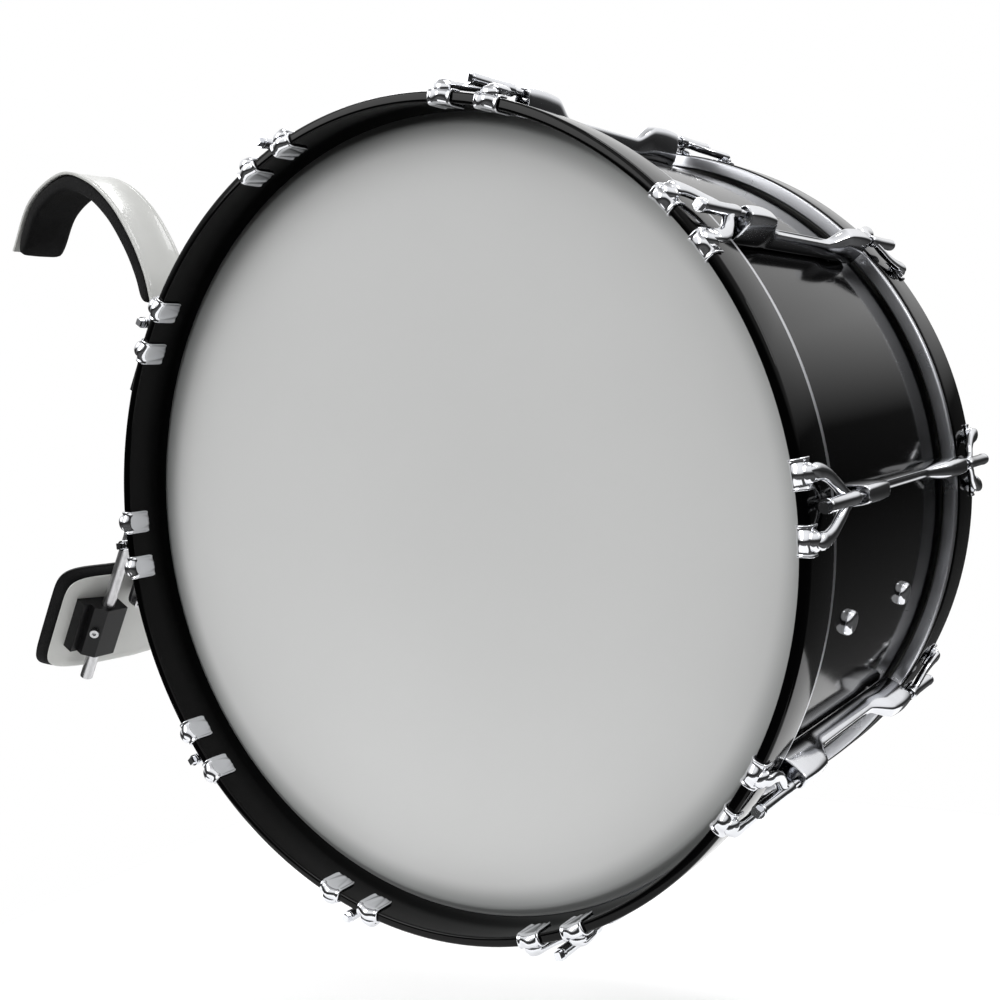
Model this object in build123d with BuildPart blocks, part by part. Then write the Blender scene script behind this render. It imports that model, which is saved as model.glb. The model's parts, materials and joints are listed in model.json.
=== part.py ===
from build123d import *
import os
from math import cos, degrees, radians, sin, sqrt

# A marching bass drum on its over-shoulder carrier. Units are millimetres and +Z is up.
# The origin is midway between the shoulder pads, at the crown of their undersides.
# The drum's axis runs along Y, with the front head at -Y, and the carrier stands at its -X side.
# Angles around the drum are clockwise from its top, as seen from the front.

os.makedirs("parts", exist_ok=True)

# ---- Drum ----
drum_centre = Vector(412, 0, -338)
drum_axis = Axis(drum_centre, (0, 1, 0))
shell_radius = 301.5
shell_wall = 7.0
shell_half = 156.0
bearing_edge = 5.0
head_film = 0.5
collar_depth = 9.0
flesh_inner = 304.0
flesh_outer = 314.7
flesh_width = 8.0
hoop_outer = 316.0
hoop_inner = 308.0
hoop_width = 42.5
hoop_round = 2.0
hoop_seat = 151.0
hoop_end = hoop_seat + hoop_width
lug_count = 10
lug_angles = [18 + 360 / lug_count * step for step in range(lug_count)]
vent_angle = 216
vent_radius = 6.0

# ---- Lugs, tension rods and claws ----
lug_half = 122.0
lug_top = 332.0
lug_half_width = 8.0
beam_half = 54.0
beam_top = 318.0
beam_half_width = 4.0
lug_screw_at = 88.0
lug_screw_radius = 2.0
rod_circle = 326.0
rod_radius = 2.75
running_gap = 0.05
rod_tip = 98.0
nut_start = 104.0
nut_length = 14.0
nut_radius = 4.6
sleeve_start = 136.0
sleeve_end = 190.0
sleeve_radius = 5.0
collar_radius = 4.65
collar_height = 1.4
key_square = 5.6
key_end = 194.6
claw_sheet = 2.8
claw_tongue = 26.0
claw_lip = 10.5
claw_pitch = 20.5
claw_width = 20.0
claw_arm_low = 318.4
claw_arm_high = 323.6

# ---- Mounting points on the shell ----
mount_angle = 288
spare_angle = 108
mount_bolt_at = 63.0
mount_bolt_radius = 4.0
dome_radius = 9.5
dome_height = 5.5
backing_plate = 3.0
backing_half_angle = 4.5
backing_half = 85.0
bracket_sheet = 4.0
bracket_half_angle = 5.0
bracket_half = 82.0
ear_inner = 30.0
ear_outer = 38.0
hinge_circle = 335.0
hinge_pin_radius = 5.0

# ---- Carrier frame, in its own directions: u up along the tubes, n towards the drum ----
carrier_tilt = 34.0
up = Vector(sin(radians(carrier_tilt)), 0, cos(radians(carrier_tilt)))
drumward = Vector(cos(radians(carrier_tilt)), 0, -sin(radians(carrier_tilt)))
plate = 4.0
tube_radius = 6.5
tube_wall = 1.5
tube_at = 72.0
tube_bottom = -439.0
tube_top = -15.0
cross_back = -376.4
cross_bottom = -80.0
cross_top = -20.0
cross_half = 135.0
tube_n = cross_back - tube_radius
cross_front = cross_back + plate
spine_back = cross_back - plate
spine_bottom = -350.0
spine_half = 50.0
stop_bolt_at = (41.0, -343.0)

# ---- Shoulder straps ----
strap_at = 118.0
strap_width = 50.0
strap_sheet = 3.0
strap_pad = 15.0
strap_foot_n = -358.0
strap_foot_bottom = -90.0
guide_half_width = 28.6
guide_chamfer = 8.5
guide_bottom = -75.0
guide_top = -25.0
guide_front = -354.0
slide_gap = 0.3
thumb_radius = 3.0
thumb_knob = 10.0
thumb_knob_height = 10.0

# ---- Belly unit ----
belly_bottom = -437.0
belly_top = -318.0
belly_half = 112.0
belly_front = -393.4
belly_edge = -405.0
belly_sheet = 3.0
belly_corner = 34.0
belly_pad = 21.0
belly_pad_rim = 5.0
slider_bottom = -405.0
slider_top = -345.0
slider_inner = 55.0
slider_outer = 90.0
slider_flange = 98.0
slider_face = -372.0
slider_slope = 10.0
clamp_screw_u = -374.0
clamp_screw_radius = 2.5

hinge_direction = Vector(sin(radians(mount_angle)), 0, cos(radians(mount_angle)))
hinge_point = hinge_direction * hinge_circle
hinge_u = hinge_point.dot(up)
hinge_n = hinge_point.dot(drumward)
belly_sagitta = belly_front - belly_edge
belly_radius = (belly_half**2 + belly_sagitta**2) / (2 * belly_sagitta)


def around(*angles):
    """Places that turn a piece made at the top of a drum about the origin to these angles."""
    return [Location(tuple(drum_centre), (0, angle, 0)) for angle in angles]


def carrier_face(n):
    """The plane facing the drum at n, with local x along Y and local y along u."""
    return Plane(origin=drum_centre + drumward * n, x_dir=(0, 1, 0), z_dir=drumward)


def carrier_side(y):
    """The plane across Y at y, with local x along n and local y along u."""
    return Plane(origin=drum_centre + Vector(0, y, 0), x_dir=drumward, z_dir=(0, -1, 0))


def carrier_section(u):
    """The plane across the tubes at u, with local x along n and local y along Y."""
    return Plane(origin=drum_centre + up * u, x_dir=drumward, z_dir=up)


def clamp_plane(sign):
    """The plane on a slider's sloping face, at its clamp screw."""
    across = drumward * (slider_face - slider_slope / 2)
    outwards = Vector(0, sign * (slider_outer - slider_slope / 2), 0)
    seat = drum_centre + up * clamp_screw_u + across + outwards
    return Plane(origin=seat, z_dir=(drumward + Vector(0, sign, 0)).normalized())


def save(part, name):
    """Name a finished piece and write it."""
    part.label = name
    export_step(part, f"parts/{name}.step")


def sides():
    """The two ends of the drum's axis, each with its name and its sign along Y."""
    return (("front", -1), ("rear", 1))


# ---- Shell ----
shell_inner = shell_radius - shell_wall
with BuildPart() as shell:
    with BuildSketch(Plane(drum_centre)):
        with BuildLine():
            Polyline(
                (shell_inner, 0),
                (shell_inner, shell_half - bearing_edge),
                (shell_radius - 2, shell_half),
                (shell_radius, shell_half - 2),
                (shell_radius, 0),
                close=True,
            )
        make_face()
    revolve(axis=drum_axis)
    mirror(about=Plane(drum_centre, z_dir=(0, 1, 0)))
    with Locations(*around(*lug_angles)):
        with Locations((0, lug_screw_at, shell_radius), (0, -lug_screw_at, shell_radius)):
            Cylinder(lug_screw_radius + 0.2, 3 * shell_wall, mode=Mode.SUBTRACT)
    with Locations(*around(mount_angle, spare_angle)):
        with Locations((0, mount_bolt_at, shell_radius), (0, -mount_bolt_at, shell_radius)):
            Cylinder(mount_bolt_radius + 0.2, 3 * shell_wall, mode=Mode.SUBTRACT)
    with Locations(*around(vent_angle)):
        with Locations((0, 0, shell_radius)):
            Cylinder(vent_radius, 3 * shell_wall, mode=Mode.SUBTRACT)
save(shell.part, "shell")

# ---- Heads, flesh hoops and counterhoops ----
collar_end = shell_half - collar_depth
with BuildPart() as head_rear:
    with BuildSketch(Plane(drum_centre)):
        with BuildLine():
            Polyline(
                (0, shell_half),
                (shell_radius - 1.6, shell_half),
                (shell_radius + 0.4, shell_half - 2),
                (shell_radius + 0.8, collar_end),
                (flesh_inner, collar_end),
                (flesh_inner, collar_end + head_film),
                (shell_radius + 0.8 + head_film, collar_end + head_film),
                (shell_radius + 0.4 + head_film, shell_half - 1.8),
                (shell_radius - 1.4, shell_half + head_film),
                (0, shell_half + head_film),
                close=True,
            )
        make_face()
    revolve(axis=drum_axis)

with BuildPart() as flesh_hoop_rear:
    with BuildSketch(Plane(drum_centre)):
        with Locations(((flesh_inner + flesh_outer) / 2, hoop_seat - flesh_width / 2)):
            RectangleRounded(flesh_outer - flesh_inner, flesh_width, 1.2)
    revolve(axis=drum_axis)

with BuildPart() as counterhoop_rear:
    with BuildSketch(Plane(drum_centre)):
        with Locations(((hoop_inner + hoop_outer) / 2, hoop_seat + hoop_width / 2)):
            RectangleRounded(hoop_outer - hoop_inner, hoop_width, hoop_round)
    revolve(axis=drum_axis)

for name, ring in (
    ("head", head_rear),
    ("flesh_hoop", flesh_hoop_rear),
    ("counterhoop", counterhoop_rear),
):
    save(ring.part, f"{name}_rear")
    with BuildPart() as front_ring:
        add(ring.part)
        mirror(about=Plane(drum_centre, z_dir=(0, 1, 0)))
        add(ring.part, mode=Mode.SUBTRACT)
    save(front_ring.part, f"{name}_front")

# ---- One lug, made at the top of a drum about the origin: Z radial, Y along the axis ----
hood_start = beam_half + 22
with BuildPart() as lug:
    with BuildSketch(Plane.YZ):
        with BuildLine():
            Polyline(
                (0, shell_radius - 2),
                (lug_half - 3, shell_radius - 2),
                (lug_half - 3, shell_radius + 3),
                (lug_half, lug_top),
            )
            Spline(
                (lug_half, lug_top),
                (lug_half - 20, lug_top),
                (hood_start, lug_top - 5),
                (beam_half, beam_top),
                tangents=((-1, 0), (-1, -0.15)),
            )
            Polyline((beam_half, beam_top), (0, beam_top), (0, shell_radius - 2))
        make_face()
    extrude(amount=lug_half_width, both=True)
    with BuildSketch(Plane.XY.offset(shell_radius - 3)):
        with BuildLine():
            Line((0, 0), (beam_half_width, 0))
            Line((beam_half_width, 0), (beam_half_width, beam_half - 2))
            Spline(
                (beam_half_width, beam_half - 2),
                (lug_half_width - 1, hood_start - 4),
                (lug_half_width, hood_start + 10),
                tangents=((0, 1), (0, 1)),
            )
            Polyline(
                (lug_half_width, hood_start + 10),
                (lug_half_width, lug_half - 8),
                (lug_half_width - 1, lug_half),
                (0, lug_half),
                (0, 0),
            )
        make_face()
        mirror(about=Plane.YZ)
    extrude(amount=lug_top - shell_radius + 4, mode=Mode.INTERSECT)
    with BuildSketch(Plane.XZ):
        with BuildLine():
            Polyline(
                (-lug_half_width, shell_radius - 2),
                (-lug_half_width, lug_top - 7),
                (-lug_half_width / 2, lug_top),
                (lug_half_width / 2, lug_top),
                (lug_half_width, lug_top - 7),
                (lug_half_width, shell_radius - 2),
                close=True,
            )
        make_face()
    extrude(amount=-lug_half, mode=Mode.INTERSECT)
    mirror(about=Plane.XZ)
    Cylinder(shell_radius, 3 * lug_half, rotation=(90, 0, 0), mode=Mode.SUBTRACT)
    with Locations((0, 0, beam_top + 1.2)):
        Cylinder(2.2, 2 * beam_half - 6, rotation=(90, 0, 0), mode=Mode.SUBTRACT)
    for sign in (-1, 1):
        with Locations((0, sign * (lug_half - 13), rod_circle)):
            Cylinder(nut_radius, 26, rotation=(90, 0, 0), mode=Mode.SUBTRACT)
        with Locations((0, sign * lug_screw_at, shell_radius)):
            Cylinder(lug_screw_radius, 15, mode=Mode.SUBTRACT)

with BuildPart() as lugs:
    with Locations(*around(*lug_angles)):
        add(lug.part)
save(lugs.part, "lugs")

lug_screw_head = 2 * lug_screw_radius
lug_screw_seat = sqrt(shell_inner**2 - lug_screw_head**2)
with BuildPart() as lug_screw:
    with BuildSketch(Plane.XY.offset(lug_screw_seat - 2.4)):
        Circle(lug_screw_head)
    extrude(amount=2.4)
    with BuildSketch(Plane.XY.offset(lug_screw_seat)):
        Circle(lug_screw_radius)
    extrude(amount=shell_wall + 7)
    fillet(lug_screw.faces().sort_by(Axis.Z)[0].edges(), 0.8)

with BuildPart() as lug_screws:
    with Locations(*around(*lug_angles)):
        with Locations((0, lug_screw_at, 0), (0, -lug_screw_at, 0)):
            add(lug_screw.part)
save(lug_screws.part, "lug_screws")

with BuildPart() as swivel_nut:
    with BuildSketch(Plane.XZ.offset(-nut_start)):
        with Locations((0, rod_circle)):
            Circle(nut_radius)
            Circle(rod_radius + running_gap, mode=Mode.SUBTRACT)
    extrude(amount=-nut_length)
    chamfer(swivel_nut.faces().sort_by(Axis.Y)[-1].edges().sort_by(SortBy.RADIUS)[-1], 0.8)

with BuildPart() as swivel_nuts:
    with Locations(*around(*lug_angles)):
        add(swivel_nut.part)
        add(mirror(swivel_nut.part, about=Plane.XZ, mode=Mode.PRIVATE))
save(swivel_nuts.part, "swivel_nuts")

# ---- One double claw at the top of the rear hoop: two fingers, their arms and the rod sleeve ----
finger_arc = degrees(claw_width / hoop_inner)
finger_centre = degrees(claw_pitch / hoop_inner)
claw_outer = hoop_outer + claw_sheet
claw_inner = hoop_inner - claw_sheet
with BuildPart() as claw:
    for side in (-1, 1):
        start = radians(side * finger_centre - finger_arc / 2)
        with BuildSketch(Plane((0, 0, 0), x_dir=(0, 1, 0), z_dir=(cos(start), 0, -sin(start)))):
            with BuildLine():
                Polyline(
                    (hoop_end - claw_tongue, claw_inner),
                    (hoop_end + claw_sheet - 1.5, claw_inner),
                    (hoop_end + claw_sheet, claw_inner + 2),
                    (hoop_end + claw_sheet, claw_outer - 2),
                    (hoop_end + claw_sheet - 1.5, claw_outer),
                    (hoop_end - claw_lip, claw_outer),
                    (hoop_end - claw_lip, hoop_outer),
                    (hoop_end, hoop_outer),
                    (hoop_end, hoop_inner),
                    (hoop_end - claw_tongue, hoop_inner),
                    close=True,
                )
            make_face()
        revolve(axis=Axis.Y, revolution_arc=finger_arc)
        with BuildSketch(Plane.XY.offset(claw_arm_low)):
            with BuildLine():
                Spline(
                    (side * 30, hoop_end + 0.5),
                    (side * 28.5, hoop_end - 12),
                    (side * 17, hoop_end - 33),
                    (side * 3, sleeve_start + 5),
                )
                Line((side * 3, sleeve_start + 5), (side * 3, sleeve_start + 26))
                Spline(
                    (side * 3, sleeve_start + 26),
                    (side * 10, hoop_end - 24),
                    (side * 15, hoop_end - 12),
                    (side * 13, hoop_end + 0.5),
                )
                Line((side * 13, hoop_end + 0.5), (side * 30, hoop_end + 0.5))
            make_face()
        extrude(amount=claw_arm_high - claw_arm_low)
        with Locations((side * claw_pitch, hoop_end - 3.5, claw_outer - 0.5)):
            Sphere(6.4)
    with BuildSketch(Plane.XZ.offset(-sleeve_start)):
        with Locations((0, rod_circle)):
            Circle(sleeve_radius)
    extrude(amount=-(sleeve_end - sleeve_start))
    with BuildSketch(Plane.XZ.offset(-hoop_seat)):
        Circle(hoop_outer)
        Circle(hoop_inner, mode=Mode.SUBTRACT)
    extrude(amount=-hoop_width, mode=Mode.SUBTRACT)
    with BuildSketch(Plane.XZ.offset(-sleeve_start + 5)):
        with Locations((0, rod_circle)):
            Circle(rod_radius + running_gap)
    extrude(amount=-hoop_end, mode=Mode.SUBTRACT)

with BuildPart() as claws_rear:
    with Locations(*around(*lug_angles)):
        add(claw.part)
save(claws_rear.part, "claws_rear")

front_claw = mirror(claw.part, about=Plane.XZ)
with BuildPart() as claws_front:
    with Locations(*around(*lug_angles)):
        add(front_claw)
save(claws_front.part, "claws_front")

# ---- Tension rods, each with its square key head ----
with BuildPart() as rod:
    with BuildSketch(Plane.XZ.offset(-rod_tip)):
        with Locations((0, rod_circle)):
            Circle(rod_radius)
    extrude(amount=-(sleeve_end - rod_tip))
    with BuildSketch(Plane.XZ.offset(-sleeve_end)):
        with Locations((0, rod_circle)):
            Circle(collar_radius)
    extrude(amount=-collar_height)
    with BuildSketch(Plane.XZ.offset(-sleeve_end - collar_height)):
        with Locations((0, rod_circle)):
            RectangleRounded(key_square, key_square, 0.9)
    extrude(amount=-(key_end - sleeve_end - collar_height))
    chamfer(rod.faces().sort_by(Axis.Y)[0].edges(), 0.6)

front_rod = mirror(rod.part, about=Plane.XZ)
for side, made in (("front", front_rod), ("rear", rod.part)):
    for number, angle in enumerate(lug_angles, 1):
        with BuildPart() as tension_rod:
            with Locations(*around(angle)):
                add(made)
        save(tension_rod.part, f"tension_rod_{side}_{number:02d}")

# ---- Shell fittings: bolts, backing plates, vent and hinge bracket ----
with BuildPart() as dome_bolt:
    with BuildSketch(Plane.XY):
        Circle(dome_radius)
    extrude(amount=dome_height)
    fillet(dome_bolt.faces().sort_by(Axis.Z)[-1].edges(), dome_height - 1.2)
    with BuildSketch(Plane.XY):
        Circle(mount_bolt_radius)
    extrude(amount=-(shell_wall + backing_plate + bracket_sheet + 7))

lock_nut_radius = 7.5
lock_nut_height = 6.0
lock_nut_seat = sqrt((shell_inner - backing_plate) ** 2 - lock_nut_radius**2)
with BuildPart() as lock_nut:
    with BuildSketch(Plane.XY.offset(lock_nut_seat - lock_nut_height)):
        RegularPolygon(lock_nut_radius, 6)
        Circle(mount_bolt_radius, mode=Mode.SUBTRACT)
    extrude(amount=lock_nut_height)

for name, angle, seat in (
    ("spare_mount_bolts", spare_angle, shell_radius),
    ("mount_bolts", mount_angle, shell_radius + bracket_sheet),
):
    with BuildPart() as bolts:
        with Locations(*around(angle)):
            with Locations((0, mount_bolt_at, seat), (0, -mount_bolt_at, seat)):
                add(dome_bolt.part)
    save(bolts.part, name)

with BuildPart() as mount_nuts:
    with Locations(*around(spare_angle, mount_angle)):
        with Locations((0, mount_bolt_at, 0), (0, -mount_bolt_at, 0)):
            add(lock_nut.part)
save(mount_nuts.part, "mount_nuts")

with BuildPart() as curved_plate:
    with BuildSketch(Plane.YZ):
        with Locations((0, shell_inner - backing_plate / 2)):
            Rectangle(2 * backing_half, backing_plate)
    revolve(axis=Axis.Y, revolution_arc=backing_half_angle)
    mirror(about=Plane.YZ)
    with Locations((0, mount_bolt_at, shell_inner), (0, -mount_bolt_at, shell_inner)):
        Cylinder(mount_bolt_radius, 6 * backing_plate, mode=Mode.SUBTRACT)

with BuildPart() as backing_plates:
    with Locations(*around(spare_angle, mount_angle)):
        add(curved_plate.part)
save(backing_plates.part, "backing_plates")

with BuildPart() as grommet:
    with BuildSketch(Plane.XY.offset(shell_inner - 1.5)):
        Circle(vent_radius)
    extrude(amount=shell_wall + 3)
    with BuildSketch(Plane.XY.offset(shell_radius)):
        Circle(vent_radius + 3)
    extrude(amount=1.8)
    with BuildSketch(Plane.XY.offset(shell_inner - 5)):
        Circle(vent_radius - 1.5)
    extrude(amount=20, mode=Mode.SUBTRACT)

with BuildPart() as vent_grommet:
    with Locations(*around(vent_angle)):
        add(grommet.part)
save(vent_grommet.part, "vent_grommet")

with BuildPart() as bracket:
    with BuildSketch(Plane.YZ):
        with Locations((0, shell_radius + bracket_sheet / 2)):
            Rectangle(2 * bracket_half, bracket_sheet)
    revolve(axis=Axis.Y, revolution_arc=bracket_half_angle)
    mirror(about=Plane.YZ)
    for inner in (ear_inner, -ear_outer):
        with BuildSketch(Plane.XZ.offset(-inner)):
            with Locations((0, hinge_circle)):
                Circle(hinge_pin_radius * 2)
            with Locations((0, shell_radius + bracket_sheet)):
                Rectangle(36, 2)
            make_hull()
            with Locations((0, hinge_circle)):
                Circle(hinge_pin_radius, mode=Mode.SUBTRACT)
        extrude(amount=-(ear_outer - ear_inner))
    with Locations((0, mount_bolt_at, shell_radius), (0, -mount_bolt_at, shell_radius)):
        Cylinder(mount_bolt_radius, 6 * bracket_sheet, mode=Mode.SUBTRACT)

with BuildPart() as shell_bracket:
    with Locations(*around(mount_angle)):
        add(bracket.part)
save(shell_bracket.part, "shell_bracket")

hinge_head = 3.5
with BuildPart() as hinge_pin:
    with BuildSketch(carrier_side(-ear_outer)):
        with Locations((hinge_n, hinge_u)):
            Circle(hinge_pin_radius)
    extrude(amount=-2 * ear_outer)
    with BuildSketch(carrier_side(-ear_outer), carrier_side(ear_outer + hinge_head)):
        with Locations((hinge_n, hinge_u)):
            Circle(hinge_pin_radius + 3)
    extrude(amount=hinge_head)
save(hinge_pin.part, "hinge_pin")

# ---- Carrier frame ----
knuckle_half = ear_inner - 0.4
knuckle_radius = 9.5
knuckle_bolts = [(y, u) for y in (-24, 24) for u in (-66, -34)]
saddle_bolts = [(y, -50) for y in (-82, -62, 62, 82)]
guide_bolts = [(y, -50) for y in (-130, -106, 106, 130)]
stop_bolts = [(-stop_bolt_at[0], stop_bolt_at[1]), stop_bolt_at]

with BuildPart() as cross_plate:
    with BuildSketch(carrier_face(cross_back)):
        with Locations((0, (cross_bottom + cross_top) / 2)):
            RectangleRounded(2 * cross_half, cross_top - cross_bottom, 14)
        with Locations(*knuckle_bolts):
            Circle(3, mode=Mode.SUBTRACT)
        with Locations(*saddle_bolts):
            Circle(2, mode=Mode.SUBTRACT)
        with Locations(*guide_bolts):
            Circle(1.5, mode=Mode.SUBTRACT)
    extrude(amount=plate)
save(cross_plate.part, "cross_plate")

with BuildPart() as spine_plate:
    with BuildSketch(carrier_face(spine_back)):
        with Locations((0, (spine_bottom + cross_top) / 2)):
            RectangleRounded(2 * spine_half, cross_top - spine_bottom, 14)
        with Locations(*knuckle_bolts, *stop_bolts):
            Circle(3, mode=Mode.SUBTRACT)
        with Locations((0, -150), (0, -220), (0, -290)):
            SlotOverall(44, 22, rotation=90, mode=Mode.SUBTRACT)
    extrude(amount=plate)
save(spine_plate.part, "spine_plate")

with BuildPart() as knuckle_bracket:
    with BuildSketch(carrier_face(cross_front)):
        with Locations((0, -50)):
            RectangleRounded(2 * knuckle_half + 6, 52, 5)
        with Locations(*knuckle_bolts):
            Circle(3, mode=Mode.SUBTRACT)
    extrude(amount=5)
    for inner in (10, -16):
        with BuildSketch(carrier_side(-inner)):
            with Locations((hinge_n, hinge_u)):
                Circle(knuckle_radius)
            with Locations((cross_front + 2, -50)):
                Rectangle(2, 46)
            make_hull()
        extrude(amount=6)
    with BuildSketch(carrier_side(knuckle_half)):
        with Locations((hinge_n, hinge_u)):
            Circle(knuckle_radius)
    extrude(amount=2 * knuckle_half)
    with BuildSketch(carrier_side(knuckle_half + 1)):
        with Locations((hinge_n, hinge_u)):
            Circle(hinge_pin_radius + running_gap)
    extrude(amount=2 * knuckle_half + 2, mode=Mode.SUBTRACT)
save(knuckle_bracket.part, "knuckle_bracket")

for name, sign in sides():
    with BuildPart() as tube:
        with BuildSketch(carrier_section(tube_bottom)):
            with Locations((tube_n, sign * tube_at)):
                Circle(tube_radius)
                Circle(tube_radius - tube_wall, mode=Mode.SUBTRACT)
        extrude(amount=tube_top - tube_bottom)
    save(tube.part, f"tube_{name}")

tube_centres = [(tube_n, -tube_at), (tube_n, tube_at)]
with BuildPart() as tube_caps:
    with BuildSketch(carrier_section(tube_top)):
        with Locations(*tube_centres):
            Circle(tube_radius)
    extrude(amount=3)
    with BuildSketch(carrier_section(tube_top)):
        with Locations(*tube_centres):
            Circle(tube_radius - tube_wall)
    extrude(amount=-10)
save(tube_caps.part, "tube_caps")

saddle_back = tube_n - tube_radius - 3.5
with BuildPart() as tube_saddles:
    with BuildSketch(carrier_section(-72)):
        with Locations(*[((cross_back + saddle_back) / 2, y) for y in (-tube_at, tube_at)]):
            RectangleRounded(cross_back - saddle_back, 27, 2.5)
        with Locations(*tube_centres):
            Circle(tube_radius, mode=Mode.SUBTRACT)
        with Locations(*[(cross_back, y) for y in (-tube_at, tube_at)]):
            Rectangle(1, 4, mode=Mode.SUBTRACT)
    extrude(amount=44)
    with BuildSketch(carrier_face(saddle_back - 1)):
        with Locations(*saddle_bolts):
            Circle(2)
    extrude(amount=20, mode=Mode.SUBTRACT)
save(tube_saddles.part, "tube_saddles")

with BuildPart() as strap_guides:
    with BuildSketch(carrier_section(guide_bottom)):
        with Locations(*[((cross_front + guide_front) / 2, y) for y in (-strap_at, strap_at)]):
            Rectangle(guide_front - cross_front, 2 * guide_half_width)
        chamfer(vertices().group_by(Axis.X)[0], guide_chamfer)
        with Locations(*[(strap_foot_n - strap_sheet / 2, y) for y in (-strap_at, strap_at)]):
            Rectangle(strap_sheet + 2 * slide_gap, strap_width + 2 * slide_gap, mode=Mode.SUBTRACT)
    extrude(amount=guide_top - guide_bottom)
    with BuildSketch(carrier_face(cross_front - 1)):
        with Locations(*guide_bolts):
            Circle(1.5)
    extrude(amount=10, mode=Mode.SUBTRACT)
    with BuildSketch(carrier_face(strap_foot_n)):
        with Locations((-strap_at, -50), (strap_at, -50)):
            Circle(thumb_radius + running_gap)
    extrude(amount=10, mode=Mode.SUBTRACT)
save(strap_guides.part, "strap_guides")


def socket_bolts(places, head_n, head_direction, radius, length):
    """Socket-head bolts at these (Y, u) places, with their heads on the plane at head_n."""
    with BuildPart() as group:
        with BuildSketch(carrier_face(head_n)):
            with Locations(*places):
                Circle(radius * 1.7)
        extrude(amount=head_direction * radius * 1.6)
        with BuildSketch(carrier_face(head_n)):
            with Locations(*places):
                Circle(radius)
        extrude(amount=-head_direction * length)
        with BuildSketch(carrier_face(head_n + head_direction * radius * 1.6)):
            with Locations(*places):
                RegularPolygon(radius * 0.9, 6)
        extrude(amount=-head_direction * radius, mode=Mode.SUBTRACT)
    return group.part


with BuildPart() as frame_bolts:
    add(socket_bolts(knuckle_bolts, spine_back, -1, 3, 2 * plate + 5))
    add(socket_bolts(saddle_bolts, saddle_back, -1, 2, cross_front - saddle_back))
    add(socket_bolts(guide_bolts, cross_back, -1, 1.5, plate + 8))
    add(socket_bolts(stop_bolts, cross_back, 1, 3, plate + 4))
save(frame_bolts.part, "frame_bolts")

for name, sign in sides():
    with BuildPart() as thumb_screw:
        with BuildSketch(carrier_face(strap_foot_n + 0.4)):
            with Locations((sign * strap_at, -50)):
                Circle(thumb_radius)
        extrude(amount=guide_front - strap_foot_n)
        with BuildSketch(carrier_face(guide_front + slide_gap)):
            with Locations((sign * strap_at, -50)):
                Circle(thumb_knob)
                with PolarLocations(thumb_knob + 1.2, 6):
                    Circle(2.8, mode=Mode.SUBTRACT)
        extrude(amount=thumb_knob_height)
    save(thumb_screw.part, f"thumb_screw_{name}")

# ---- Shoulder straps and their pads, drawn in X and Z from the drum's axis ----
strap_curve = [
    (-500, 297),
    (-465, 339),
    (-414, 356),
    (-375, 343),
    (-344, 315),
    (-322, 280),
    (-309, 247),
    (-304, 219),
]
strap_plane = Plane(origin=drum_centre, x_dir=(1, 0, 0), z_dir=(0, -1, 0))
foot_top = drumward * strap_foot_n + up * -8
foot_end = drumward * strap_foot_n + up * strap_foot_bottom
strap_path = strap_curve + [(foot_top.X, foot_top.Z)]


def inset(points, distance):
    """Points moved square to the line through them, towards the wearer's shoulder."""
    moved = []
    for index, (x, z) in enumerate(points):
        before = points[max(index - 1, 0)]
        after = points[min(index + 1, len(points) - 1)]
        dx = after[0] - before[0]
        dz = after[1] - before[1]
        length = sqrt(dx**2 + dz**2)
        moved.append((x + dz / length * distance, z - dx / length * distance))
    return moved


foot_inset = drumward * -strap_sheet
inner_strap = inset(strap_path, strap_sheet)
inner_strap[-1] = (foot_top.X + foot_inset.X, foot_top.Z + foot_inset.Z)
down_u = (-up.X, -up.Z)
for name, sign in sides():
    strap_side = strap_plane.offset(-sign * strap_at)
    with BuildPart() as shoulder_strap:
        with BuildSketch(strap_side):
            with BuildLine():
                Spline(*strap_path, tangents=((0.4, 0.9), down_u))
                Polyline(
                    strap_path[-1],
                    (foot_end.X, foot_end.Z),
                    (foot_end.X + foot_inset.X, foot_end.Z + foot_inset.Z),
                    inner_strap[-1],
                )
                Spline(*inner_strap, tangents=((0.4, 0.9), down_u))
                Line(inner_strap[0], strap_path[0])
            make_face()
        extrude(amount=strap_width / 2, both=True)
    save(shoulder_strap.part, f"shoulder_strap_{name}")

pad_inner = inset(strap_curve, strap_sheet + strap_pad)
for name, sign in sides():
    strap_side = strap_plane.offset(-sign * strap_at)
    with BuildPart() as shoulder_pad:
        with BuildSketch(strap_side):
            with BuildLine():
                Spline(*inner_strap, tangents=((0.4, 0.9), down_u))
                Polyline(inner_strap[-1], (-360, 190), (-420, 200), (-560, 240), inner_strap[0])
            make_face()
            with BuildLine():
                Spline(*pad_inner)
                Line(pad_inner[-1], (pad_inner[-1][0] + 40, pad_inner[-1][1]))
                Line((pad_inner[-1][0] + 40, pad_inner[-1][1]), (-250, 400))
                Line((-250, 400), (-560, 400))
                Line((-560, 400), (-540, 280))
                Line((-540, 280), pad_inner[0])
            make_face(mode=Mode.INTERSECT)
        extrude(amount=strap_width / 2, both=True)
    save(shoulder_pad.part, f"shoulder_pad_{name}")

# ---- Belly unit: curved plate, its pad, the sliders on the tubes and the glides ----
belly_centre = (belly_front - belly_radius, 0)


def belly_arc(depth, half_width):
    """An arc around the wearer's belly, depth behind the plate's front face."""
    radius = belly_radius - depth
    edge = belly_centre[0] + sqrt(radius**2 - half_width**2)
    return ThreePointArc((edge, -half_width), (belly_front - depth, 0), (edge, half_width))


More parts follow.
